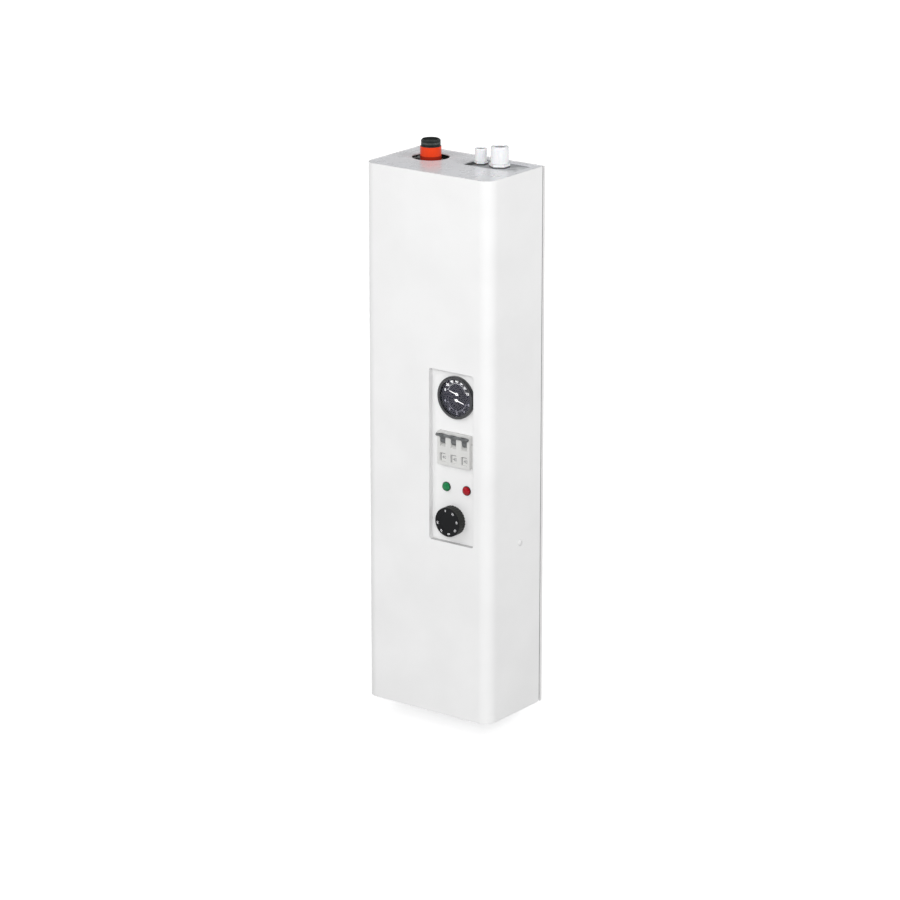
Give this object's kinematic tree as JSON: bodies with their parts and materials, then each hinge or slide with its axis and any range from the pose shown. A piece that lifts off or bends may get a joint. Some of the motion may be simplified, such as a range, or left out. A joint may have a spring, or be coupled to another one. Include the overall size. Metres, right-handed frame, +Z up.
{
  "type": "electric system boiler",
  "caption": "Slim wall-hung electric system boiler with a recessed control strip, breaker, thermomanometer, lamps and knob; pipe end and cable glands on top.",
  "frame": {"origin": "centre of the back plate on its wall side", "axes": "+Z up the case, +X to the right seen from the front, +Y into the wall, so the front faces -Y"},
  "size_m": [0.2088, 0.1297, 0.7895],
  "materials": {
    "white_enamel": "semi-gloss powder coat",
    "chassis_enamel": "semi-gloss powder coat",
    "end_enamel": "gloss powder coat",
    "zinc": "bright zinc",
    "screw_white": "gloss",
    "gland_nylon": "moulded satin",
    "gland_rubber": "moulded",
    "pipe_black": "black steel",
    "tank_steel": "welded steel",
    "sleeve_red": "gloss",
    "sleeve_blue": "gloss",
    "brass": "turned",
    "element_steel": "drawn tube",
    "breaker_case": "moulded satin",
    "breaker_lever": "moulded satin",
    "gauge_black": "gloss",
    "dial_black": "printed",
    "gauge_glass": "clear",
    "pointer_white": "white paint",
    "lamp_black": "moulded",
    "lens_green": "clear tint",
    "lens_red": "clear tint",
    "thermostat_case": "moulded",
    "knob_black": "moulded satin",
    "electric_grey": "moulded",
    "electric_white": "moulded",
    "copper": "drawn tube",
    "reset_red": "moulded"
  },
  "bodies": {
    "boiler": {"back_plate": "chassis_enamel", "top_plate": "end_enamel", "bottom_plate": "end_enamel", "front_cover": "white_enamel", "cover_nuts": "zinc", "cover_screws": "screw_white", "control_panel": "white_enamel", "upper_panel_bracket": "zinc", "lower_panel_bracket": "zinc", "panel_nuts": "zinc", "gland_plate": "zinc", "small_gland_body": "gland_nylon", "small_gland_seal": "gland_rubber", "small_gland_nut": "gland_nylon", "small_gland_locknut": "gland_nylon", "large_gland_body": "gland_nylon", "large_gland_seal": "gland_rubber", "large_gland_nut": "gland_nylon", "large_gland_locknut": "gland_nylon", "tank_shell": "tank_steel", "outlet_pipe": "pipe_black", "outlet_sleeve": "sleeve_red", "inlet_pipe": "pipe_black", "inlet_sleeve": "sleeve_blue", "heater_plug": "brass", "heating_elements": "element_steel", "upper_tank_clamp": "zinc", "lower_tank_clamp": "zinc", "clamp_screws": "zinc", "sensor_pocket": "brass", "din_rail": "zinc", "rail_standoffs": "zinc", "breaker_pole_left": "breaker_case", "breaker_pole_centre": "breaker_case", "breaker_pole_right": "breaker_case", "breaker_pivot": "zinc", "gauge_can": "gauge_black", "gauge_bezel": "gauge_black", "gauge_dial": "dial_black", "gauge_glass": "gauge_glass", "gauge_clamp": "zinc", "green_lamp_holder": "lamp_black", "green_lamp_lens": "lens_green", "red_lamp_holder": "lamp_black", "red_lamp_lens": "lens_red", "lamp_nuts": "zinc", "thermostat_body": "thermostat_case", "limiter_body": "thermostat_case", "limiter_nut": "zinc", "contactor_body": "electric_grey", "terminal_block": "electric_white", "capillary_leads": "copper"},
    "breaker_toggle": {"breaker_levers": "breaker_lever", "breaker_tie_bar": "breaker_lever"},
    "thermostat_dial": {"thermostat_shaft": "zinc", "thermostat_knob": "knob_black"},
    "temperature_hand": {"temperature_pointer": "pointer_white"},
    "pressure_hand": {"pressure_pointer": "pointer_white"},
    "reset_button": {"limiter_button": "reset_red"},
    "contactor_core": {"contactor_carriage": "electric_white"}
  },
  "joints": [
    {"name": "breaker_throw", "type": "hinge", "parent": "boiler", "child": "breaker_toggle", "pos_m": [0.0436, -0.1155, 0.01397], "axis": [1, 0, 0], "range_deg": [0, 80]},
    {"name": "thermostat_turn", "type": "hinge", "parent": "boiler", "child": "thermostat_dial", "pos_m": [0.0393, -0.1157, -0.0954], "axis": [0, 1, 0], "range_deg": [0, 270]},
    {"name": "temperature_sweep", "type": "hinge", "parent": "boiler", "child": "temperature_hand", "pos_m": [0.045, -0.1157, 0.0782], "axis": [0, 1, 0], "range_deg": [0, 150], "stiffness_Nm_per_rad": 0.0001, "springref_deg": -17.19},
    {"name": "pressure_sweep", "type": "hinge", "parent": "boiler", "child": "pressure_hand", "pos_m": [0.045, -0.1157, 0.0698], "axis": [0, 1, 0], "range_deg": [0, 150], "stiffness_Nm_per_rad": 0.0001, "springref_deg": -17.19},
    {"name": "limiter_reset", "type": "slide", "parent": "boiler", "child": "reset_button", "axis": [0, 0, 1], "range_m": [0, 0.002], "stiffness_N_per_m": 200, "springref_m": -0.002},
    {"name": "contactor_pull", "type": "slide", "parent": "boiler", "child": "contactor_core", "axis": [0, 1, 0], "range_m": [0, 0.003], "stiffness_N_per_m": 200, "springref_m": -0.002}
  ]
}
